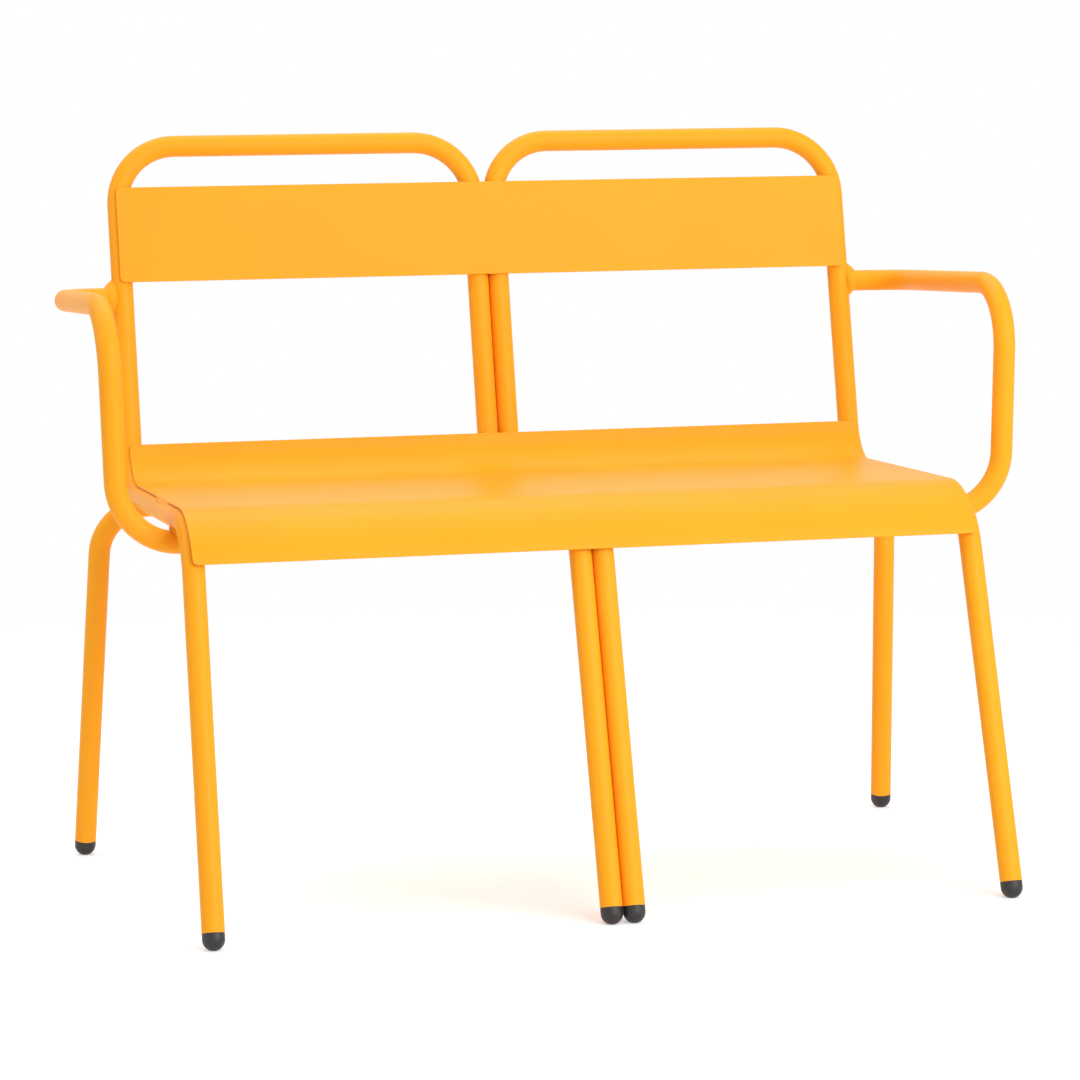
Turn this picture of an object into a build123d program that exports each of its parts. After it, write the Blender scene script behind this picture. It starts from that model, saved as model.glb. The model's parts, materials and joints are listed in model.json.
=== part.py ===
from build123d import *
import os
from math import cos, radians, sin, sqrt, tan

# Two-place welded tube bench with a folded seat sheet and a narrow back sheet.
# Millimetres, +Z up, +X to the right of a viewer in front, the front towards -Y.
# The origin lies on the floor under the middle of the bench.

# Tube and sheet stock
tube_diameter = 25.0
tube_wall = 1.5
sheet_thickness = 2.0
sheet_gap = 0.5
weld_gap = 0.3

# Overall sizes
overall_height = 850.0
overall_depth = 626.0
seat_height = 450.5
seat_rise = 3.0
outer_tube_x = 443.0

# Side view of the hoop tubes
leg_run = 128.5
upright_run = 84.9
front_foot_splay = 7.5
knee_radius = 74.0
rear_bend_radius = 66.7
top_corner_radius = 70.0

# Rear legs and their crossbar
crossbar_angle = 28.0
crossbar_overhang = 40.0
rear_foot_splay = 18.5
rear_leg_run = 68.4
rear_leg_radius = 58.0

# Arms, hung just below the back sheet
arm_outreach = 76.2
arm_drop = 16.4
arm_front_lift = 12.0
arm_cope = 9.0
arm_post_setback = 67.5
arm_post_lean = 7.2
arm_corner_radius = 62.0
arm_front_radius = 75.0
arm_lower_radius = 70.0
arm_end_overrun = 10.0

# Seat sheet and back sheet
sheet_overhang = 4.0
front_roll_setback = 53.0
front_roll_radius = 90.0
front_roll_turn = 67.0
upturn_straight = 1.0
back_sheet_drop = 51.0
back_sheet_height = 112.5
sheet_corner_radius = 6.0
sheet_edge_radius = 0.6

# Feet and end plugs
foot_collar = 6.5
foot_flat_diameter = 8.0
foot_inset = 0.15
plug_stem_length = 22.0
plug_core_gap = 1.2
plug_rib_gap = 0.25
plug_rib_count = 3
plug_rib_width = 2.0
end_plug_head = 3.0
end_plug_round = 1.2

# Weld beads, with their insets counted from the ends of a straight run of tube
arm_weld_top_leg = 9.5
arm_weld_side_leg = 7.5
arm_weld_bottom_leg = 6.0
arm_weld_wrap = 55.0
arm_weld_crown = 0.3
arm_weld_side_crown = 2.6
cross_weld_radius = 10.5
cross_weld_height = 13.0
groove_bead_radius = 3.0
groove_bead_length = 26.0
groove_bead_inset = 70.0
edge_bead_radius = 1.5
edge_bead_length = 86.0
edge_bead_inset = 55.0
sheet_bead_radius = 2.5
sheet_bead_length = 30.0
seat_bead_inset = 55.0
back_bead_inset = 20.0

# Derived sizes
tube_radius = tube_diameter / 2
bore_radius = tube_radius - tube_wall
sheet_under = tube_radius + sheet_gap
sheet_over = sheet_under + sheet_thickness
sheet_half_width = outer_tube_x + sheet_overhang
rail_z = seat_height - sheet_over
top_z = overall_height - tube_radius
top_y = overall_depth / 2 - tube_radius
inner_tube_x = tube_radius + weld_gap / 2
foot_ball_radius = tube_radius - foot_inset
foot_ball_z = sqrt(foot_ball_radius**2 - (foot_flat_diameter / 2) ** 2)
front_foot_y = foot_ball_radius - overall_depth / 2
touch = tube_radius + weld_gap / 2
length_tolerance = 0.001


def side_point(y, z):
    """A point of the side view, in the middle plane."""
    return Vector(0, y, z)


def at_x(point, x):
    """A point of the side view, moved out to that X."""
    return Vector(x, point.Y, point.Z)


# Side view of a hoop, from the front foot to the top rail
foot_side = side_point(front_foot_y, foot_ball_z)
knee_side = side_point(front_foot_y + leg_run, rail_z + seat_rise)
rear_side = side_point(top_y - upright_run, rail_z)
top_side = side_point(top_y, top_z)
leg_way = (knee_side - foot_side).normalized()
rail_way = (rear_side - knee_side).normalized()
upright_way = (top_side - rear_side).normalized()
back_top = top_side - upright_way * back_sheet_drop
back_low = back_top - upright_way * back_sheet_height
arm_root_side = back_low - upright_way * arm_drop


def sitter_normal(way):
    """The side-view direction square to a tube's way, towards the sitter."""
    return Vector(0, -way.Z, way.Y)


leg_normal = sitter_normal(leg_way)
rail_normal = sitter_normal(rail_way)
back_normal = sitter_normal(upright_way)


def shifted_corner(corner, way_in, way_out, shift):
    """The corner of two side-view lines after both move that far towards the sitter."""
    normal_in = sitter_normal(way_in)
    normal_out = sitter_normal(way_out)
    return corner + (normal_in + normal_out) * (shift / (1 + normal_in.dot(normal_out)))


def bend_reach(way_in, way_out, radius):
    """The distance from a corner to the ends of its arc."""
    return radius * tan(radians(way_in.get_angle(way_out)) / 2)


def swept_rod(path, radius):
    """A solid round rod along a path."""
    return sweep(Plane(origin=path @ 0, z_dir=path % 0) * Circle(radius), path=path)


def swept_tube(path):
    """A tube of the stock size along a path."""
    section = Circle(tube_radius) - Circle(bore_radius)
    return sweep(Plane(origin=path @ 0, z_dir=path % 0) * section, path=path)


def bead(centre, way, length, radius):
    """A straight weld bead with round ends."""
    start = centre - way * (length / 2)
    end = centre + way * (length / 2)
    rod = swept_rod(Line(start, end), radius)
    return rod + Pos(start) * Sphere(radius) + Pos(end) * Sphere(radius)


def mirrored(shape):
    """The same piece on the other side of the bench."""
    return mirror(shape, about=Plane.YZ)


# Hoop tubes
left_ball = at_x(foot_side, -outer_tube_x - front_foot_splay)
middle_ball = at_x(foot_side, -inner_tube_x)
left_knee = at_x(knee_side, -outer_tube_x)
left_leg_way = (left_knee - left_ball).normalized()
hoop_points = [
    left_ball + left_leg_way * foot_collar,
    left_knee,
    at_x(rear_side, -outer_tube_x),
    at_x(top_side, -outer_tube_x),
    at_x(top_side, -inner_tube_x),
    at_x(rear_side, -inner_tube_x),
    at_x(knee_side, -inner_tube_x),
    middle_ball + leg_way * foot_collar,
]
side_radii = [knee_radius, rear_bend_radius, top_corner_radius]
hoop_path = FilletPolyline(*hoop_points, radius=side_radii + side_radii[::-1])
hoop_envelope = swept_rod(hoop_path, tube_radius + weld_gap)
left_hoop_tube = swept_tube(hoop_path)

# Rear legs with their crossbar, nested under the rear bends of the hoops
rear_reach = bend_reach(rail_way, upright_way, rear_bend_radius)
rear_bend_centre = rear_side - rail_way * rear_reach + rail_normal * rear_bend_radius
nest_way = side_point(sin(radians(crossbar_angle)), -cos(radians(crossbar_angle)))
crossbar_side = rear_bend_centre + nest_way * (rear_bend_radius + 2 * touch)
rear_corner = at_x(crossbar_side, -outer_tube_x - crossbar_overhang)
rear_ball = Vector(rear_corner.X - rear_foot_splay, rear_corner.Y + rear_leg_run, foot_ball_z)
rear_leg_way = (rear_corner - rear_ball).normalized()
rear_leg_end = rear_ball + rear_leg_way * foot_collar
rear_leg_points = [
    rear_leg_end,
    rear_corner,
    at_x(rear_corner, -rear_corner.X),
    at_x(rear_leg_end, -rear_leg_end.X),
]
rear_leg_path = FilletPolyline(*rear_leg_points, radius=[rear_leg_radius, rear_leg_radius])
crossbar_envelope = swept_rod(rear_leg_path, tube_radius + weld_gap)
rear_leg_tube = swept_tube(rear_leg_path)

# Arms, coped against the uprights and passing under the seat rails
outward = Vector(-1, 0, 0)
arm_root = at_x(arm_root_side, -outer_tube_x)
arm_start = arm_root + outward * arm_cope
arm_x = -outer_tube_x - arm_outreach
arm_rail_side = knee_side + rail_way * arm_post_setback
arm_low_side = arm_rail_side - rail_normal * (2 * touch)
arm_end = at_x(arm_low_side, tube_radius + arm_end_overrun - outer_tube_x)
arm_points = [
    arm_start,
    at_x(arm_root_side, arm_x),
    Vector(arm_x, arm_low_side.Y, arm_root_side.Z + arm_front_lift),
    at_x(arm_low_side, arm_x + arm_post_lean),
    arm_end,
]
arm_radii = [arm_corner_radius, arm_front_radius, arm_lower_radius]
arm_path = FilletPolyline(*arm_points, radius=arm_radii)
arm_gap_path = FilletPolyline(arm_start - outward * weld_gap, *arm_points[1:], radius=arm_radii)
arm_envelope = swept_rod(arm_gap_path, tube_radius + weld_gap)
left_arm_tube = swept_tube(arm_path) - hoop_envelope


# Seat sheet, rolled down over the knees and folded up the rear bends
def roll_point(shift, turn):
    """A point of the front roll, on the sheet's face that far from the rail's centre line."""
    way = rail_normal * cos(radians(turn)) - rail_way * sin(radians(turn))
    return roll_centre + way * (front_roll_radius - sheet_over + shift)


def seat_lines(shift):
    """A face of the seat sheet in the side view, from the apron's lower edge to the upturn."""
    rear_radius = rear_bend_radius - shift
    rear = shifted_corner(rear_side, rail_way, upright_way, shift)
    upturn_reach = bend_reach(rail_way, upright_way, rear_radius) + upturn_straight
    flat_start = roll_point(shift, 0)
    apron_low = roll_point(shift, front_roll_turn)
    roll = ThreePointArc(apron_low, roll_point(shift, front_roll_turn / 2), flat_start)
    rest = FilletPolyline(flat_start, rear, rear + upright_way * upturn_reach, radius=rear_radius)
    return [roll, *rest.edges()]


roll_start = knee_side + rail_way * front_roll_setback
roll_centre = roll_start + rail_normal * (sheet_over - front_roll_radius)


def corner_edges(blank):
    """The short edges across a sheet's thickness."""
    return [edge for edge in blank.edges() if abs(edge.length - sheet_thickness) < length_tolerance]


def outline_edges(sheet, ends):
    """The sharp edges round a sheet's outline, without the lines where a bend begins."""
    across = corner_edges(sheet)
    chosen = []
    for edge in sheet.edges():
        along_x = abs((edge % 0.5).X) > 1 - length_tolerance
        middle = edge @ 0.5
        at_end = min((middle - at_x(end, middle.X)).length for end in ends) < sheet_thickness
        if edge not in across and (at_end or not along_x):
            chosen.append(edge)
    return chosen


def finished_sheet(blank, ends):
    """A sheet with its corners rounded and its edges eased."""
    rounded = fillet(corner_edges(blank), sheet_corner_radius)
    return fillet(outline_edges(rounded, ends), sheet_edge_radius)


under_lines = seat_lines(sheet_under)
over_lines = seat_lines(sheet_over)
apron_edge = Line(under_lines[0] @ 0, over_lines[0] @ 0)
upturn_edge = Line(under_lines[-1] @ 1, over_lines[-1] @ 1)
seat_section = make_face([*under_lines, *over_lines, apron_edge, upturn_edge])
seat_blank = extrude(seat_section, amount=sheet_half_width, dir=(1, 0, 0), both=True)
seat_sheet = finished_sheet(seat_blank, [apron_edge @ 0.5, upturn_edge @ 0.5])

# Back sheet, on the front of the uprights
back_shift = back_normal * (sheet_under + sheet_thickness / 2)
back_plane = Plane(
    origin=(back_top + back_low) / 2 + back_shift, x_dir=(1, 0, 0), z_dir=back_normal
)
back_blank = back_plane * Box(2 * sheet_half_width, back_sheet_height, sheet_thickness)
back_sheet = finished_sheet(back_blank, [back_top + back_shift, back_low + back_shift])

# Feet and end plugs, pushed into the open tube ends
from_below = (Align.CENTER, Align.CENTER, Align.MIN)
from_above = (Align.CENTER, Align.CENTER, Align.MAX)


def plug_stem():
    """The ribbed stem of a plug, from its shoulder up the tube."""
    stem = Cylinder(bore_radius - plug_core_gap, plug_stem_length, align=from_below)
    rib_pitch = plug_stem_length / (plug_rib_count + 1)
    for number in range(1, plug_rib_count + 1):
        rib = Cylinder(bore_radius - plug_rib_gap, plug_rib_width)
        stem += Pos(0, 0, number * rib_pitch) * rib
    return stem


def foot(ball_centre, way):
    """A domed foot on a leg's axis, flat where it meets the floor."""
    dome = split(Sphere(foot_ball_radius), bisect_by=Plane.XY, keep=Keep.BOTTOM)
    collar = Cylinder(foot_ball_radius, foot_collar, align=from_below)
    plug = dome + collar + Pos(0, 0, foot_collar) * plug_stem()
    placed = Plane(origin=ball_centre, z_dir=way) * plug
    return split(placed, bisect_by=Plane.XY, keep=Keep.TOP)


def end_plug(end, way):
    """A flat plug in an open tube end, with its head outside."""
    head = Cylinder(foot_ball_radius, end_plug_head, align=from_above)
    head = fillet(head.edges().group_by(Axis.Z)[0], end_plug_round)
    return Plane(origin=end, z_dir=way) * (head + plug_stem())


front_left_foot = foot(left_ball, left_leg_way)
front_middle_left_foot = foot(middle_ball, leg_way)
rear_left_foot = foot(rear_ball, rear_leg_way)
left_arm_end_plug = end_plug(arm_end, outward)


# Welds round the arm's end at the upright
def blend(turn, end_size, side_size):
    """A weld size at that turn, between its value in line with the upright and at the side."""
    return end_size * cos(radians(turn)) ** 2 + side_size * sin(radians(turn)) ** 2


def ring_section(turn):
    """The fillet's section at that turn from the top of the arm, with its root in the tubes."""
    up = cos(radians(turn))
    forth = sin(radians(turn))
    end_leg = arm_weld_top_leg if up > 0 else arm_weld_bottom_leg
    crown = blend(turn, arm_weld_crown, arm_weld_side_crown)
    wrap_side = tube_radius * sin(radians(arm_weld_wrap))
    wrap_up = tube_radius + end_leg
    wrap_reach = 1 / sqrt((forth / wrap_side) ** 2 + (up / wrap_up) ** 2)
    wrap_out = sqrt(tube_radius**2 - (wrap_reach * forth) ** 2)
    arm_toe = Vector(tube_radius + blend(turn, end_leg, arm_weld_side_leg), tube_radius)
    upright_toe = Vector(wrap_out, wrap_reach)
    chord = arm_toe - upright_toe
    peak = (arm_toe + upright_toe) / 2 + Vector(-chord.Y, chord.X).normalized() * crown
    root = Vector(tube_radius / 2, tube_radius / 2)
    outline = [ThreePointArc(arm_toe, peak, upright_toe), Polyline(upright_toe, root, arm_toe)]
    radial = upright_way * up + back_normal * forth
    plane = Plane(origin=arm_root, x_dir=outward, z_dir=outward.cross(radial))
    return plane * make_face(outline)


front_turns = (0, 30, 60, 90, 120, 150, 180)
front_ring = loft([ring_section(turn) for turn in front_turns])
rear_ring = loft([ring_section(-turn) for turn in front_turns])
left_arm_top_weld = front_ring + rear_ring - hoop_envelope - arm_envelope


# Welds where two tubes cross
def cross_weld(point, way, first_envelope, second_envelope):
    """A ring of weld round the place where two crossing tubes touch."""
    pad = Plane(origin=point, z_dir=way) * Cylinder(cross_weld_radius, cross_weld_height)
    return pad - first_envelope - second_envelope


arm_touch = at_x(arm_rail_side - rail_normal * touch, -outer_tube_x)
left_arm_bottom_weld = cross_weld(arm_touch, rail_normal, hoop_envelope, arm_envelope)
crossbar_touch = crossbar_side - nest_way * touch
left_rear_welds = [
    cross_weld(at_x(crossbar_touch, -x), nest_way, hoop_envelope, crossbar_envelope)
    for x in (outer_tube_x, inner_tube_x)
]
rear_leg_welds = left_rear_welds + [mirrored(weld) for weld in left_rear_welds]


# Stitches in the groove between the inner sides of the hoops, away from the sitter
def groove_beads(start, end, away):
    """A bead near each end of one straight run of the two tubes."""
    way = (end - start).normalized()
    depth = sqrt((tube_radius + groove_bead_radius + weld_gap) ** 2 - inner_tube_x**2)
    centres = [start + way * groove_bead_inset, end - way * groove_bead_inset]
    return [
        bead(centre + away * depth, way, groove_bead_length, groove_bead_radius)
        for centre in centres
    ]


knee_reach = bend_reach(leg_way, rail_way, knee_radius)
leg_low = foot_side + leg_way * foot_collar
leg_high = knee_side - leg_way * knee_reach
rail_front = knee_side + rail_way * knee_reach
rail_rear = rear_side - rail_way * rear_reach
upright_low = rear_side + upright_way * rear_reach
upright_high = top_side - upright_way * top_corner_radius
middle_tube_welds = [
    *groove_beads(leg_low, leg_high, leg_normal * -1),
    *groove_beads(rail_front, rail_rear, rail_normal * -1),
    *groove_beads(upright_low, upright_high, back_normal * -1),
]


# Stitches between the sheets and the tubes behind them
def sheet_bead(place, way, normal, x):
    """A bead in the corner between a sheet's rear face and the side of a tube."""
    height = tube_radius - sheet_bead_radius
    spread = sqrt((tube_radius + sheet_bead_radius + weld_gap) ** 2 - height**2)
    return bead(at_x(place + normal * height, x + spread), way, sheet_bead_length, sheet_bead_radius)


def tube_side_beads(places, way, normal):
    """The beads of one hoop's two tubes, on the sides that face each other."""
    beads = []
    for place in places:
        beads.append(sheet_bead(place, way, normal, -outer_tube_x))
        beads.append(mirrored(sheet_bead(place, way, normal, inner_tube_x)))
    return beads


edge_x = sheet_overhang + edge_bead_radius + weld_gap
edge_rise = sqrt((tube_radius + edge_bead_radius + weld_gap) ** 2 - edge_x**2)
edge_place = rail_front + rail_way * (edge_bead_inset + edge_bead_length / 2)
edge_centre = at_x(edge_place + rail_normal * edge_rise, -outer_tube_x - edge_x)
seat_places = [rail_front + rail_way * seat_bead_inset, rail_rear - rail_way * seat_bead_inset]
left_seat_welds = [
    bead(edge_centre, rail_way, edge_bead_length, edge_bead_radius),
    *tube_side_beads(seat_places, rail_way, rail_normal),
]
seat_sheet_welds = left_seat_welds + [mirrored(weld) for weld in left_seat_welds]
back_places = [upright_high - upright_way * back_bead_inset, back_low + upright_way * back_bead_inset]
left_back_welds = tube_side_beads(back_places, upright_way, back_normal)
back_sheet_welds = left_back_welds + [mirrored(weld) for weld in left_back_welds]

# Pieces, each under its own name
pieces = {
    "left_hoop_tube": left_hoop_tube,
    "right_hoop_tube": mirrored(left_hoop_tube),
    "rear_leg_tube": rear_leg_tube,
    "left_arm_tube": left_arm_tube,
    "right_arm_tube": mirrored(left_arm_tube),
    "seat_sheet": seat_sheet,
    "back_sheet": back_sheet,
    "front_left_foot": front_left_foot,
    "front_middle_left_foot": front_middle_left_foot,
    "front_middle_right_foot": mirrored(front_middle_left_foot),
    "front_right_foot": mirrored(front_left_foot),
    "rear_left_foot": rear_left_foot,
    "rear_right_foot": mirrored(rear_left_foot),
    "left_arm_end_plug": left_arm_end_plug,
    "right_arm_end_plug": mirrored(left_arm_end_plug),
    "left_arm_top_weld": left_arm_top_weld,
    "right_arm_top_weld": mirrored(left_arm_top_weld),
    "left_arm_bottom_weld": left_arm_bottom_weld,
    "right_arm_bottom_weld": mirrored(left_arm_bottom_weld),
    "rear_leg_welds": Compound(rear_leg_welds),
    "middle_tube_welds": Compound(middle_tube_welds),
    "seat_sheet_welds": Compound(seat_sheet_welds),
    "back_sheet_welds": Compound(back_sheet_welds),
}
os.makedirs("parts", exist_ok=True)
for name, piece in pieces.items():
    export_step(piece, f"parts/{name}.step")
    volume = sum(solid.volume for solid in piece.solids())
    print(name, "solids", len(piece.solids()), "volume", round(volume, 1))
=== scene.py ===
"""A two-place garden bench of bent tube and folded sheet, dressed and lit for its portrait."""

import json
import logging
import math
from dataclasses import dataclass, field
from enum import Enum
from typing import Any, Optional, Union

import bmesh
import bpy
from mathutils import Matrix, Vector


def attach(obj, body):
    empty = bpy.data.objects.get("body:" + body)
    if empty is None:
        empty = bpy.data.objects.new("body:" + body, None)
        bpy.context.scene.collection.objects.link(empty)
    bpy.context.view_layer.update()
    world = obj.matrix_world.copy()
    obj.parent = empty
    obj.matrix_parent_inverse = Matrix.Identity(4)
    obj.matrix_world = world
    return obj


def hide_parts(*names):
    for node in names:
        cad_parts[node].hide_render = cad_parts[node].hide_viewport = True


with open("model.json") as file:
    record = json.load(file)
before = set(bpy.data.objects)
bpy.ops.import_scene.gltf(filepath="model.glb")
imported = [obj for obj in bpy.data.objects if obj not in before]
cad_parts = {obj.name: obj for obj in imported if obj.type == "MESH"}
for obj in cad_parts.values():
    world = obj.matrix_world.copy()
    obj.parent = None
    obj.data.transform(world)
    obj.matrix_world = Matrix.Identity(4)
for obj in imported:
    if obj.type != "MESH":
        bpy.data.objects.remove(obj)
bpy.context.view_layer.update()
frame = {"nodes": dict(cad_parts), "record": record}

log = logging.getLogger("bench")

Point = tuple[float, float, float]
Colour = tuple[float, float, float, float]
Limits = tuple[float, float]
Term = Union["Value", float]

BODY = "root"
MILLIMETRE = 0.001
ACROSS = Vector((1.0, 0.0, 0.0))
WHITE: Colour = (1.0, 1.0, 1.0, 1.0)
NOISE_MIDDLE = 0.5
MERGE_DISTANCE = 0.01 * MILLIMETRE
TUBE_RADIUS = 12.5 * MILLIMETRE
OUTER_TUBE_X = 0.443

# Degrees from upright to the line between the axes of two crossing tubes, towards the back.
RAIL_LEAN = 0.44
CROSSBAR_LEAN = -28.0


class Slot(Enum):
    """The record's material slots."""

    TUBE = "tube_coat"
    SHEET = "sheet_coat"
    WELD = "weld_coat"
    FOOT = "foot_plastic"


class Side(Enum):
    """The two ends of the bench, each with the sign of its X."""

    LEFT = -1.0
    RIGHT = 1.0


class Value:
    """A shader socket that takes part in Python expressions."""

    def __init__(self, graph: "Graph", socket: bpy.types.NodeSocket) -> None:
        """Hold a socket and the graph that it belongs to.

        Args:
            graph: The graph that new Math nodes go into.
            socket: The output socket that this value stands for.
        """
        self.graph = graph
        self.socket = socket

    def __add__(self, other: Term) -> "Value":
        """This value plus another."""
        return self.graph.maths("ADD", self, other)

    def __radd__(self, other: Term) -> "Value":
        """Another value plus this one."""
        return self.graph.maths("ADD", other, self)

    def __sub__(self, other: Term) -> "Value":
        """This value less another."""
        return self.graph.maths("SUBTRACT", self, other)

    def __rsub__(self, other: Term) -> "Value":
        """Another value less this one."""
        return self.graph.maths("SUBTRACT", other, self)

    def __mul__(self, other: Term) -> "Value":
        """This value times another."""
        return self.graph.maths("MULTIPLY", self, other)

    def __rmul__(self, other: Term) -> "Value":
        """Another value times this one."""
        return self.graph.maths("MULTIPLY", other, self)

    def larger(self, other: Term) -> "Value":
        """The larger of this value and another."""
        return self.graph.maths("MAXIMUM", self, other)

    def step(self, low: float, high: float) -> "Value":
        """A smooth step of this value.

        Args:
            low: Where the step is 0.
            high: Where the step is 1.

        Returns:
            The step's value, from 0 to 1.
        """
        settings = {"interpolation_type": "SMOOTHSTEP"}
        sockets = {"Value": self, "From Min": low, "From Max": high}
        return self.graph.add("ShaderNodeMapRange", settings, sockets)


class Graph:
    """The node tree of a material or of the world."""

    def __init__(self, tree: bpy.types.NodeTree) -> None:
        """Take over a node tree and empty it.

        Args:
            tree: The tree to build in.
        """
        self.tree = tree
        tree.nodes.clear()

    def node(
        self,
        kind: str,
        settings: Optional[dict[str, Any]] = None,
        sockets: Optional[dict[Union[str, int], Any]] = None,
    ) -> bpy.types.Node:
        """Add one node.

        Args:
            kind: The node's type.
            settings: The node's own properties, which are set first.
            sockets: Numbers, colours or values for its inputs, by name or number.

        Returns:
            The new node.
        """
        made = self.tree.nodes.new(kind)
        for name, setting in (settings or {}).items():
            setattr(made, name, setting)
        for name, source in (sockets or {}).items():
            if isinstance(source, Value):
                self.tree.links.new(source.socket, made.inputs[name])
            else:
                made.inputs[name].default_value = source
        return made

    def add(
        self,
        kind: str,
        settings: Optional[dict[str, Any]] = None,
        sockets: Optional[dict[Union[str, int], Any]] = None,
        output: Union[str, int] = 0,
    ) -> Value:
        """Add one node and take one of its outputs.

        Args:
            kind: The node's type.
            settings: The node's own properties.
            sockets: Numbers, colours or values for its inputs.
            output: The output's name or number.

        Returns:
            The output as a value.
        """
        return Value(self, self.node(kind, settings, sockets).outputs[output])

    def maths(self, operation: str, *terms: Term) -> Value:
        """Add one Math node.

        Args:
            operation: The Math node's operation.
            terms: Its values, in order.

        Returns:
            The result.
        """
        return self.add("ShaderNodeMath", {"operation": operation}, dict(enumerate(terms)))

    def mix(self, share: Term, first: Any, second: Any) -> Value:
        """Mix two colours.

        Args:
            share: How much of the second colour shows.
            first: A colour or a value.
            second: A colour or a value.

        Returns:
            The mixed colour.
        """
        settings = {"data_type": "RGBA", "clamp_factor": True}
        return self.add("ShaderNodeMix", settings, {0: share, 6: first, 7: second}, output=2)

    def noise(self, place: Value, size: float, detail: float = 2.0) -> Value:
        """Add a noise texture.

        Args:
            place: The coordinates.
            size: The size of one bump, in metres.
            detail: The number of finer octaves.

        Returns:
            The noise, around one half.
        """
        sockets = {"Vector": place, "Scale": 1.0 / size, "Detail": detail}
        return self.add("ShaderNodeTexNoise", {}, sockets)


@dataclass(frozen=True)
class PowderCoat:
    """Satin powder coat, baked on over steel."""

    colour: Colour = (0.975, 0.392, 0.016, 1.0)
    deep_colour: Colour = (0.955, 0.372, 0.014, 1.0)
    drift_size: float = 0.16
    drift_limits: Limits = (0.3, 0.7)
    fleck_size: float = 1.25 * MILLIMETRE
    fleck_limits: Limits = (0.35, 0.65)
    fleck_share: float = 0.35
    roughness: float = 0.40
    roughness_swing: float = 0.10
    specular: float = 0.12
    peel_size: float = 2.2 * MILLIMETRE
    peel_share: float = 0.7
    grain_size: float = 0.5 * MILLIMETRE
    relief: float = 0.05 * MILLIMETRE
    relief_strength: float = 0.5

    def material(self, name: str) -> bpy.types.Material:
        """Make the finish's material.

        Args:
            name: The material's name.

        Returns:
            The material.
        """
        made = bpy.data.materials.new(name)
        made.use_nodes = True
        graph = Graph(made.node_tree)
        place = graph.add("ShaderNodeTexCoord", output="Object")
        drift = graph.noise(place, self.drift_size).step(*self.drift_limits)
        peel = graph.noise(place, self.peel_size)
        grain = graph.noise(place, self.grain_size, detail=1.0)
        fleck = graph.noise(place, self.fleck_size, detail=1.0).step(*self.fleck_limits)
        tone = drift + self.fleck_share * (fleck - drift)
        bump_sockets = {
            "Strength": self.relief_strength,
            "Distance": self.relief,
            "Height": self.peel_share * peel + (1.0 - self.peel_share) * grain,
        }
        surface = graph.add(
            "ShaderNodeBsdfPrincipled",
            {},
            {
                "Base Color": graph.mix(tone, self.deep_colour, self.colour),
                "Roughness": self.roughness + self.roughness_swing * (grain - NOISE_MIDDLE),
                "Specular IOR Level": self.specular,
                "Normal": graph.add("ShaderNodeBump", {}, bump_sockets),
            },
        )
        graph.node("ShaderNodeOutputMaterial", {}, {"Surface": surface})
        return made


@dataclass(frozen=True)
class MouldedPlastic:
    """Dark moulded plastic, a little dusty where it meets the floor."""

    colour: Colour = (0.022, 0.021, 0.021, 1.0)
    dust_colour: Colour = (0.060, 0.055, 0.050, 1.0)
    dust_height: float = 5.0 * MILLIMETRE
    patch_size: float = 6.3 * MILLIMETRE
    patch_limits: Limits = (0.35, 0.7)
    roughness: float = 0.42
    roughness_swing: float = 0.18
    specular: float = 0.40
    grain_size: float = 0.7 * MILLIMETRE
    relief: float = 0.04 * MILLIMETRE
    relief_strength: float = 0.5

    def material(self, name: str) -> bpy.types.Material:
        """Make the finish's material.

        Args:
            name: The material's name.

        Returns:
            The material.
        """
        made = bpy.data.materials.new(name)
        made.use_nodes = True
        graph = Graph(made.node_tree)
        place = graph.add("ShaderNodeTexCoord", output="Object")
        height = graph.add("ShaderNodeSeparateXYZ", {}, {0: place}, output="Z")
        grain = graph.noise(place, self.grain_size)
        patch = graph.noise(place, self.patch_size).step(*self.patch_limits)
        dust = (1.0 - height.step(0.0, self.dust_height)) * patch
        bump_sockets = {
            "Strength": self.relief_strength,
            "Distance": self.relief,
            "Height": grain,
        }
        surface = graph.add(
            "ShaderNodeBsdfPrincipled",
            {},
            {
                "Base Color": graph.mix(dust, self.colour, self.dust_colour),
                "Roughness": self.roughness + self.roughness_swing * grain * patch,
                "Specular IOR Level": self.specular,
                "Normal": graph.add("ShaderNodeBump", {}, bump_sockets),
            },
        )
        graph.node("ShaderNodeOutputMaterial", {}, {"Surface": surface})
        return made


class Finishes:
    """The bench's materials, one for each slot."""

    def __init__(self) -> None:
        """Make the materials."""
        coat = PowderCoat()
        thick_coat = PowderCoat(roughness=0.46, relief=0.08 * MILLIMETRE, relief_strength=0.6)
        self.by_slot: dict[Slot, bpy.types.Material] = {
            Slot.TUBE: coat.material("tube_coat"),
            Slot.SHEET: coat.material("sheet_coat"),
            Slot.WELD: thick_coat.material("weld_coat"),
            Slot.FOOT: MouldedPlastic().material("foot_plastic"),
        }

    def dress(self, mesh: bpy.types.Mesh, slot: Slot) -> None:
        """Give a mesh the one material of its slot.

        Args:
            mesh: The mesh to dress.
            slot: The slot whose material it gets.
        """
        mesh.materials.clear()
        mesh.materials.append(self.by_slot[slot])


@dataclass
class CarriedNodes:
    """The solids that show as they are, each with the finish of its slot."""

    finishes: Finishes

    def dress(self) -> None:
        """Give every solid its finish."""
        for part in frame["record"]["subparts"]:
            slot = Slot(part["material_slot"])
            self.finishes.dress(frame["nodes"][part["node"]].data, slot)
            log.info("%s is dressed in %s", part["node"], slot.value)


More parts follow.
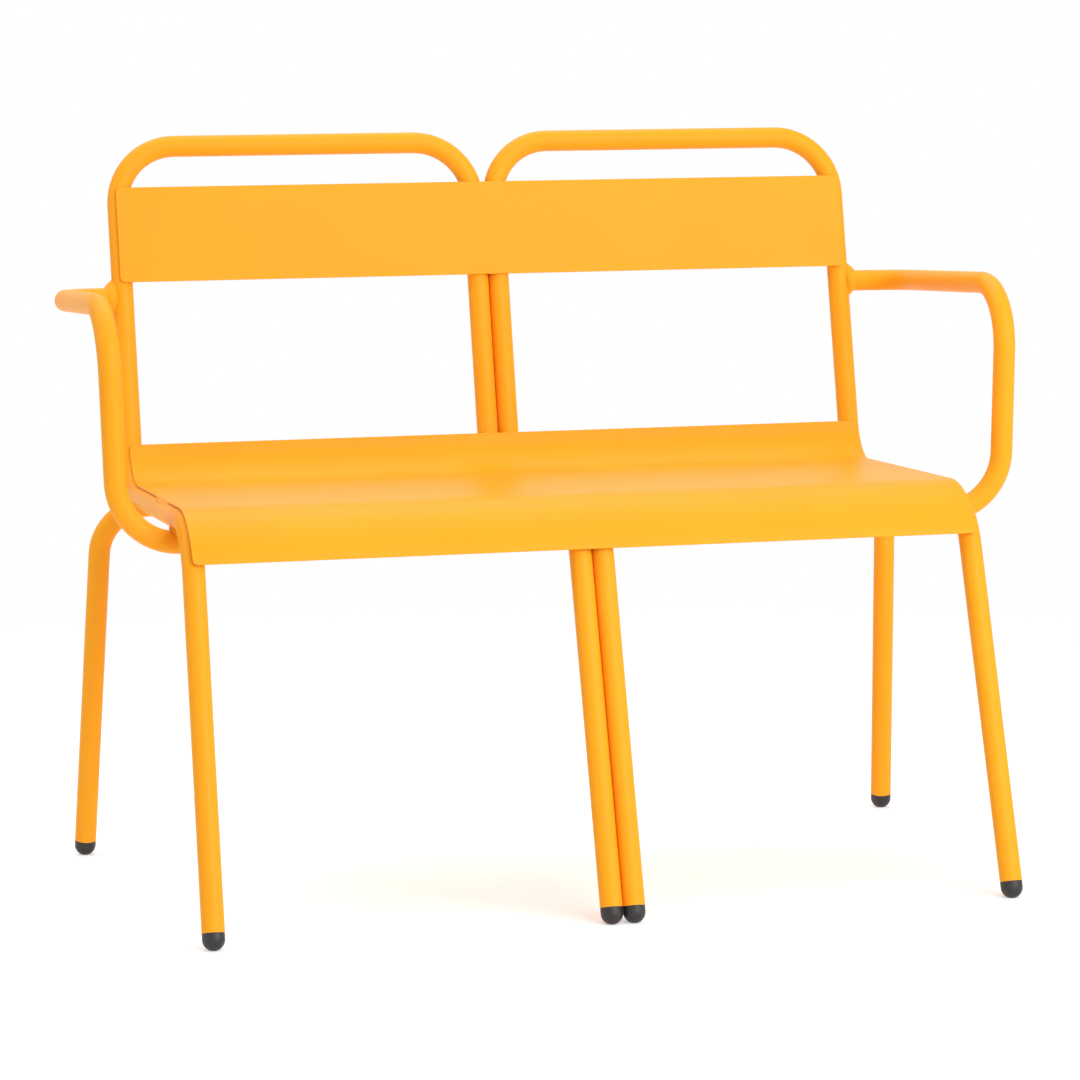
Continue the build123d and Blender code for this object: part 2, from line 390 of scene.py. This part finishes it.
@dataclass(frozen=True)
class Ripple:
    """The scalloped ripples that a welder leaves along a bead."""

    pitch: float = 2.7 * MILLIMETRE
    height: float = 0.30 * MILLIMETRE
    bow: float = 0.55
    sharpness: float = 0.6
    swell: float = 0.22 * MILLIMETRE
    swell_length: float = 9.5 * MILLIMETRE
    second_swell: float = 0.6
    second_rate: float = 1.7
    second_phase: float = 1.0

    def lift(self, along: float, across: float) -> float:
        """How far the bead's skin stands out at one place.

        Args:
            along: The distance along the bead.
            across: The place from one toe, -1, over the crown to the other toe, 1.

        Returns:
            The lift, in metres.
        """
        phase = along / self.pitch - self.bow * across**2
        scallop = abs(math.sin(math.pi * phase)) ** self.sharpness
        turn = math.tau * along / self.swell_length
        second = math.sin(self.second_rate * turn + self.second_phase)
        wave = math.sin(turn) + self.second_swell * second
        return self.height * (scallop - 0.5) + 0.5 * self.swell * wave


class Skin:
    """A mesh that grows from rings of points."""

    def __init__(self) -> None:
        """Start with no faces."""
        self.net = bmesh.new()

    def tube(self, rings: list[list[Vector]], closed: bool = False) -> None:
        """Join rings of points to a skin, with caps unless it closes on itself.

        Args:
            rings: The rings in order, each with the same number of points.
            closed: Whether the last ring joins the first.
        """
        rows = [[self.net.verts.new(point) for point in ring] for ring in rings]
        count = len(rows[0])
        pairs = list(zip(rows, rows[1:]))
        if closed:
            pairs.append((rows[-1], rows[0]))
        for near, far in pairs:
            for i in range(count):
                j = (i + 1) % count
                self.net.faces.new((near[i], near[j], far[j], far[i]))
        if not closed:
            self.net.faces.new(rows[0][::-1])
            self.net.faces.new(rows[-1])

    def piece(self, name: str, finishes: Finishes, node: str) -> bpy.types.Object:
        """Finish the mesh as a smooth coated weld that stands for a node.

        Args:
            name: The piece's name.
            finishes: The materials.
            node: The node that the piece stands for.

        Returns:
            The piece.
        """
        bmesh.ops.recalc_face_normals(self.net, faces=self.net.faces)
        for face in self.net.faces:
            face.smooth = True
        mesh = bpy.data.meshes.new(name)
        self.net.to_mesh(mesh)
        self.net.free()
        finishes.dress(mesh, Slot.WELD)
        made = bpy.data.objects.new(name, mesh)
        bpy.context.scene.collection.objects.link(made)
        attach(made, BODY)
        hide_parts(node)
        log.info("%s stands for %s", name, node)
        return made


def solids_of(node: str) -> list[list[Vector]]:
    """Part a node's points into its separate solids.

    Args:
        node: The node's name.

    Returns:
        The points of each solid.
    """
    net = bmesh.new()
    net.from_mesh(frame["nodes"][node].data)
    bmesh.ops.remove_doubles(net, verts=net.verts, dist=MERGE_DISTANCE)
    waiting = set(net.verts)
    groups: list[list[Vector]] = []
    while waiting:
        front = [waiting.pop()]
        group = []
        while front:
            vert = front.pop()
            group.append(vert.co.copy())
            fresh = {edge.other_vert(vert) for edge in vert.link_edges} & waiting
            waiting -= fresh
            front.extend(fresh)
        groups.append(group)
    net.free()
    return groups


def middle_of(points: list[Vector]) -> Vector:
    """The middle of the box round some points."""
    spans = [(min(p[i] for p in points), max(p[i] for p in points)) for i in range(3)]
    return Vector([(low + high) / 2 for low, high in spans])


def arch(share: float) -> float:
    """An arch over shares from 0 to 1, which is 0 at both ends and 1 in the middle."""
    return 4.0 * share * (1.0 - share)


def ease(share: float) -> float:
    """A smooth rise from 0 to 1, level at both ends."""
    return share**2 * (3.0 - 2.0 * share)


@dataclass
class StitchWelds:
    """Short straight beads that stitch sheet to tube and tube to tube."""

    finishes: Finishes
    node: str
    name: str
    in_groove: bool = False
    outer_tube_x: float = OUTER_TUBE_X
    tube_radius: float = TUBE_RADIUS
    sheet_over: float = 15.0 * MILLIMETRE
    sheet_overhang: float = 4.0 * MILLIMETRE
    edge_lap: float = 0.45 * MILLIMETRE
    edge_toe: float = 7.9 * MILLIMETRE
    edge_bulge: float = 0.25 * MILLIMETRE
    edge_taper: float = 14.0 * MILLIMETRE
    edge_depth: float = 0.9 * MILLIMETRE
    sink: float = 0.45 * MILLIMETRE
    row_length: float = 0.34 * MILLIMETRE
    sides: int = 20
    ripple: Ripple = Ripple()
    edge_ripple: Ripple = Ripple(height=0.14 * MILLIMETRE, swell=0.16 * MILLIMETRE)

    def tube_height(self, away: float) -> float:
        """How high a tube's skin stands over its axis, that far to one side."""
        return math.sqrt(self.tube_radius**2 - away**2)

    def tube_axis(self, middle: Vector, sitter: Vector) -> Vector:
        """The place on the outer tube's axis that an edge bead belongs to.

        Args:
            middle: The bead's middle.
            sitter: The direction from the tube to the sheet.

        Returns:
            The place.
        """
        aside = abs(middle.x) - self.outer_tube_x
        rise = math.sqrt((self.tube_radius + aside - self.sheet_overhang) ** 2 - aside**2)
        tube_x = math.copysign(self.outer_tube_x, middle.x)
        return Vector((tube_x, middle.y, middle.z)) - sitter * rise

    def bead_ring(self, crown: Vector, flank: Vector, radius: float, along: float) -> list[Vector]:
        """One ring of a round bead of full size, about its axis.

        Args:
            crown: The direction from the bead's root to its crown.
            flank: The direction across the bead.
            radius: The bead's radius.
            along: The distance from the bead's start.

        Returns:
            The ring's points.
        """
        ring = []
        for side in range(self.sides):
            turn = math.tau * side / self.sides
            across = math.sin(turn) if math.cos(turn) > 0 else math.copysign(1.0, math.sin(turn))
            out = radius + self.ripple.lift(along, across)
            ring.append((crown * math.cos(turn) + flank * math.sin(turn)) * out)
        return ring

    def edge_ring(self, up: Vector, out: Vector, size: float, along: float) -> list[Vector]:
        """One ring of a flush fillet at the sheet's edge, about the tube's axis.

        Args:
            up: The direction from the tube to the sheet.
            out: The direction away from the bench's middle.
            size: The share of the whole section there.
            along: The distance from the fillet's start.

        Returns:
            The ring's points.
        """
        root = Vector((self.sheet_overhang, self.tube_height(self.sheet_overhang)))
        brim = Vector((self.sheet_overhang - self.edge_lap, self.sheet_over))
        toe = Vector((self.edge_toe, self.tube_height(self.edge_toe)))
        brim, toe = root.lerp(brim, size), root.lerp(toe, size)
        chord = toe - brim
        proud = Vector((-chord.y, chord.x)).normalized()
        section = []
        for step in range(self.sides // 2 + 1):
            share = 2.0 * step / self.sides
            lift = self.edge_ripple.lift(along, 2.0 * share - 1.0) * math.sqrt(arch(share))
            bulge = size * (self.edge_bulge * arch(share) + lift)
            section.append(brim.lerp(toe, share) + proud * bulge)
        section.append(toe - proud * self.sink)
        section.append(root - proud * self.edge_depth)
        section.append(brim - proud * self.sink)
        return [out * point.x + up * point.y for point in section]

    def lay(self, skin: Skin, points: list[Vector]) -> None:
        """Lay one rippled bead where a solid bead lies.

        Args:
            skin: The skin to add to.
            points: The solid bead's points.
        """
        middle = middle_of(points)
        tip = max(points, key=lambda p: (p - middle).length) - middle
        way = Vector((0.0, tip.y, tip.z)).normalized()
        reach = max(abs((p - middle).dot(way)) for p in points)
        radius = max(abs(p.x - middle.x) for p in points) + self.sink
        # The sheets lie on top of the rails and in front of the uprights.
        sitter = way.cross(ACROSS)
        if sitter.z < sitter.y:
            sitter.negate()
        outward = ACROSS * math.copysign(1.0, middle.x)
        on_edge = abs(middle.x) > self.outer_tube_x
        # A round bead's crown faces away from the sheet, and from its tube unless it fills a groove.
        beside = -outward if abs(middle.x) > self.outer_tube_x / 2 else outward
        crown = -sitter if self.in_groove else (beside - sitter).normalized()
        centre = self.tube_axis(middle, sitter) if on_edge else middle
        rows = round(2.0 * reach / self.row_length)
        rings = []
        for row in range(1, rows):
            along = 2.0 * reach * row / rows
            end = min(along, 2.0 * reach - along)
            if on_edge:
                size = ease(min(1.0, end / self.edge_taper))
                ring = self.edge_ring(sitter, outward, size, along)
            else:
                full = math.sqrt(1.0 - max(0.0, 1.0 - end / radius) ** 2)
                ring = [full * p for p in self.bead_ring(crown, way.cross(crown), radius, along)]
            rings.append([centre + way * (along - reach) + point for point in ring])
        skin.tube(rings)

    def build(self) -> bpy.types.Object:
        """Lay all the beads of the node.

        Returns:
            The piece.
        """
        skin = Skin()
        for points in sorted(solids_of(self.node), key=lambda group: tuple(middle_of(group))):
            self.lay(skin, points)
        return skin.piece(self.name, self.finishes, self.node)


@dataclass
class ArmRootWeld:
    """The fillet weld round an arm's end at the upright of the back."""

    finishes: Finishes
    side: Side
    root: Point = (OUTER_TUBE_X, 0.26333, 0.66148)
    upright_lean: float = 11.93
    tube_radius: float = TUBE_RADIUS
    top_leg: float = 9.5 * MILLIMETRE
    side_leg: float = 7.5 * MILLIMETRE
    bottom_leg: float = 6.0 * MILLIMETRE
    wrap: float = 55.0
    crown: float = 0.3 * MILLIMETRE
    side_crown: float = 2.6 * MILLIMETRE
    sink: float = 0.7 * MILLIMETRE
    root_depth: float = 2.5 * MILLIMETRE
    turns: int = 252
    steps: int = 12
    ripple: Ripple = Ripple(bow=0.35)

    def section(self, turn: float) -> list[tuple[float, float]]:
        """The weld's section at one turn round the arm.

        Args:
            turn: The angle from the top of the arm, in radians.

        Returns:
            The section's points, each as its way out along the arm and up from the arm's axis.
        """
        up, forth = math.cos(turn), math.sin(turn)
        end_leg = self.top_leg if up > 0 else self.bottom_leg
        crown = self.crown * up**2 + self.side_crown * forth**2
        wrap_side = self.tube_radius * math.sin(math.radians(self.wrap))
        wrap_up = self.tube_radius + end_leg
        reach = 1.0 / math.hypot(forth / wrap_side, up / wrap_up)
        out = math.sqrt(self.tube_radius**2 - (reach * forth) ** 2)
        leg = end_leg * up**2 + self.side_leg * forth**2
        arm_toe = Vector((self.tube_radius + leg, self.tube_radius))
        upright_toe = Vector((out, reach))
        chord = arm_toe - upright_toe
        proud = Vector((-chord.y, chord.x)).normalized()
        along = turn * (self.tube_radius + leg / 2)
        points = []
        for step in range(self.steps + 1):
            share = step / self.steps
            lift = self.ripple.lift(along, 2.0 * share - 1.0) * math.sqrt(arch(share))
            points.append(arm_toe.lerp(upright_toe, share) + proud * (crown * arch(share) + lift))
        points.append(upright_toe - proud * self.sink)
        points.append((arm_toe + upright_toe) / 2 - proud * self.root_depth)
        points.append(arm_toe - proud * self.sink)
        return [(point.x, point.y) for point in points]

    def build(self) -> bpy.types.Object:
        """Lay the weld.

        Returns:
            The piece.
        """
        lean = math.radians(self.upright_lean)
        upright = Vector((0.0, math.sin(lean), math.cos(lean)))
        sitter = Vector((0.0, -math.cos(lean), math.sin(lean)))
        outward = ACROSS * self.side.value
        centre = Vector((self.root[0] * self.side.value, self.root[1], self.root[2]))
        rings = []
        for number in range(self.turns):
            turn = math.tau * number / self.turns
            turn = turn if turn <= math.pi else turn - math.tau
            radial = upright * math.cos(turn) + sitter * math.sin(turn)
            rings.append(
                [centre + outward * out + radial * rise for out, rise in self.section(turn)]
            )
        skin = Skin()
        skin.tube(rings, closed=True)
        word = self.side.name.lower()
        return skin.piece(f"{word}_arm_root_fillet", self.finishes, f"{word}_arm_top_weld")


@dataclass
class CrossingWelds:
    """Rings of weld in the gap where an upper tube rests across a lower one."""

    finishes: Finishes
    node: str
    name: str
    lean: float
    tube_radius: float = TUBE_RADIUS
    ring_radius: float = 11.2 * MILLIMETRE
    bulge: float = 0.9 * MILLIMETRE
    sink: float = 0.5 * MILLIMETRE
    depth: float = 2.5 * MILLIMETRE
    turns: int = 144
    steps: int = 6
    ripple: Ripple = Ripple(
        pitch=3.4 * MILLIMETRE,
        height=1.1 * MILLIMETRE,
        bow=0.2,
        swell=0.9 * MILLIMETRE,
        swell_length=8.0 * MILLIMETRE,
    )

    def gap(self, away: float) -> float:
        """How far a tube's skin falls back that far from the place of touch."""
        return self.tube_radius - math.sqrt(self.tube_radius**2 - away**2)

    def ring(self, centre: Vector, turn: float) -> list[Vector]:
        """The weld's section at one turn round the place of touch.

        Args:
            centre: The place of touch.
            turn: The angle from the X axis, in radians.

        Returns:
            The section's points.
        """
        tilt = math.radians(self.lean)
        up = Vector((0.0, math.sin(tilt), math.cos(tilt)))
        along = up.cross(ACROSS)
        radial = ACROSS * math.cos(turn) + along * math.sin(turn)
        top = self.gap(self.ring_radius * math.cos(turn)) + self.sink
        low = -self.gap(self.ring_radius * math.sin(turn)) - self.sink
        lift = self.ripple.lift(turn * self.ring_radius, 0.0)
        points = []
        for step in range(self.steps + 1):
            share = step / self.steps
            out = self.ring_radius + (self.bulge + lift) * math.sin(math.pi * share)
            points.append(centre + radial * out + up * (top + (low - top) * share))
        inner = centre + radial * (self.ring_radius - self.depth)
        return points + [inner + up * low, inner + up * top]

    def build(self) -> bpy.types.Object:
        """Lay the rings of the node.

        Returns:
            The piece.
        """
        skin = Skin()
        for points in sorted(solids_of(self.node), key=lambda group: tuple(middle_of(group))):
            centre = middle_of(points)
            turns = [math.tau * i / self.turns for i in range(self.turns)]
            skin.tube([self.ring(centre, turn) for turn in turns], closed=True)
        return skin.piece(self.name, self.finishes, self.node)


@dataclass
class Lamp:
    """A soft box, turned towards the bench."""

    name: str
    place: Point
    target: Point
    width: float
    height: float
    power: float

    def build(self) -> bpy.types.Object:
        """Make the lamp.

        Returns:
            The lamp's object.
        """
        data = bpy.data.lights.new(self.name, "AREA")
        data.shape = "RECTANGLE"
        data.size = self.width
        data.size_y = self.height
        data.energy = self.power
        made = bpy.data.objects.new(self.name, data)
        made.location = self.place
        way = Vector(self.target) - Vector(self.place)
        made.rotation_euler = way.to_track_quat("-Z", "Y").to_euler()
        bpy.context.scene.collection.objects.link(made)
        return made


@dataclass
class PortraitCamera:
    """The camera at the photograph's place."""

    place: Point = (-1.17771, -4.41872, 0.90974)
    yaw: float = 14.811
    pitch: float = -6.527
    roll: float = -0.619
    focal_pixels: float = 4012.52
    frame_pixels: float = 1080.0
    sensor: float = 36.0
    far_limit: float = 100.0

    def build(self) -> bpy.types.Object:
        """Make the camera and hand it to the scene.

        Returns:
            The camera's object.
        """
        yaw, pitch, roll = (math.radians(a) for a in (self.yaw, self.pitch, self.roll))
        ahead = Vector(
            (math.sin(yaw) * math.cos(pitch), math.cos(yaw) * math.cos(pitch), math.sin(pitch))
        )
        level = Vector((math.cos(yaw), -math.sin(yaw), 0.0))
        above = level.cross(ahead)
        right = math.cos(roll) * level + math.sin(roll) * above
        up = math.cos(roll) * above - math.sin(roll) * level
        data = bpy.data.cameras.new("portrait_camera")
        data.sensor_width = self.sensor
        data.lens = self.focal_pixels / self.frame_pixels * self.sensor
        data.clip_end = self.far_limit
        made = bpy.data.objects.new("portrait_camera", data)
        turn = Matrix((right, up, -ahead)).transposed().to_4x4()
        made.matrix_world = Matrix.Translation(self.place) @ turn
        bpy.context.scene.collection.objects.link(made)
        bpy.context.scene.camera = made
        return made


@dataclass
class Studio:
    """A white floor that fades into a white room, with soft boxes."""

    floor_half: float = 12.0
    floor_colour: Colour = (0.82, 0.82, 0.82, 1.0)
    floor_lift: float = 0.42
    floor_bounce: float = 0.20
    fade_start: float = 0.9
    fade_end: float = 2.4
    room_light: float = 0.28
    lamps: list[Lamp] = field(
        default_factory=lambda: [
            Lamp("front_soft_box", (1.3, -3.5, 2.2), (0.0, 0.0, 0.5), 3.0, 3.2, 114.0),
            Lamp("right_soft_box", (2.9, -2.9, 1.9), (0.0, 0.0, 0.5), 2.0, 2.2, 24.0),
            Lamp("top_soft_box", (-0.3, 0.8, 3.8), (0.0, 0.0, 0.4), 4.6, 4.2, 108.0),
            Lamp("left_soft_box", (-3.6, 0.4, 1.9), (0.0, 0.0, 0.5), 2.2, 2.2, 26.0),
        ]
    )

    @staticmethod
    def ray(graph: Graph, *kinds: str) -> Value:
        """A value that is 1 for rays of some kinds.

        Args:
            graph: The graph to add to.
            kinds: The kinds' names.

        Returns:
            The value.
        """
        rays = graph.node("ShaderNodeLightPath")
        asked = [Value(graph, rays.outputs[f"Is {kind} Ray"]) for kind in kinds]
        chosen = asked[0]
        for value in asked[1:]:
            chosen = chosen.larger(value)
        return chosen

    def light_room(self) -> None:
        """White walls all round, which light the bench less than they show."""
        world = bpy.data.worlds.new("white_room")
        world.use_nodes = True
        bpy.context.scene.world = world
        graph = Graph(world.node_tree)
        seen = self.ray(graph, "Camera", "Glossy", "Transmission")
        strength = self.room_light + (1.0 - self.room_light) * seen
        room = graph.add("ShaderNodeBackground", {}, {"Color": WHITE, "Strength": strength})
        graph.node("ShaderNodeOutputWorld", {}, {"Surface": room})

    def lay_floor(self) -> bpy.types.Object:
        """Lay the floor, lifted to white where no shadow falls.

        Returns:
            The floor's object.
        """
        half = self.floor_half
        corners = [(-half, -half, 0.0), (half, -half, 0.0), (half, half, 0.0), (-half, half, 0.0)]
        mesh = bpy.data.meshes.new("floor")
        mesh.from_pydata(corners, [], [(0, 1, 2, 3)])
        paint = bpy.data.materials.new("white_floor")
        paint.use_nodes = True
        graph = Graph(paint.node_tree)
        seen = self.ray(graph, "Camera", "Glossy", "Transmission")
        place = graph.add("ShaderNodeTexCoord", output="Object")
        settings = {"operation": "LENGTH"}
        away = graph.add("ShaderNodeVectorMath", settings, {0: place}, output="Value")
        far = away.step(self.fade_start, self.fade_end) * seen
        matt = graph.add("ShaderNodeBsdfDiffuse", {}, {"Color": self.floor_colour})
        glow = self.floor_bounce + (self.floor_lift - self.floor_bounce) * seen
        lift = graph.add("ShaderNodeEmission", {}, {"Strength": glow})
        near = graph.add("ShaderNodeAddShader", {}, {0: matt, 1: lift})
        white = graph.add("ShaderNodeEmission", {}, {"Strength": 1.0})
        both = graph.add("ShaderNodeMixShader", {}, {0: far, 1: near, 2: white})
        graph.node("ShaderNodeOutputMaterial", {}, {"Surface": both})
        mesh.materials.append(paint)
        made = bpy.data.objects.new("floor", mesh)
        bpy.context.scene.collection.objects.link(made)
        return made

    def build(self) -> None:
        """Build the room, its lamps and its floor."""
        bpy.context.scene.view_settings.view_transform = "Standard"
        self.light_room()
        self.lay_floor()
        for lamp in self.lamps:
            lamp.build()


def main() -> None:
    """Build the studio, the camera and the bench."""
    logging.basicConfig(level=logging.INFO, format="%(name)s: %(message)s")
    Studio().build()
    PortraitCamera().build()
    finishes = Finishes()
    CarriedNodes(finishes).dress()
    for side in Side:
        ArmRootWeld(finishes, side).build()
        word = side.name.lower()
        node, name = f"{word}_arm_bottom_weld", f"{word}_arm_crossing"
        CrossingWelds(finishes, node, name, RAIL_LEAN).build()
    CrossingWelds(finishes, "rear_leg_welds", "rear_leg_crossings", CROSSBAR_LEAN).build()
    StitchWelds(finishes, "middle_tube_welds", "groove_stitches", in_groove=True).build()
    StitchWelds(finishes, "seat_sheet_welds", "seat_stitches").build()
    StitchWelds(finishes, "back_sheet_welds", "back_stitches").build()


if __name__ == "__main__":
    main()
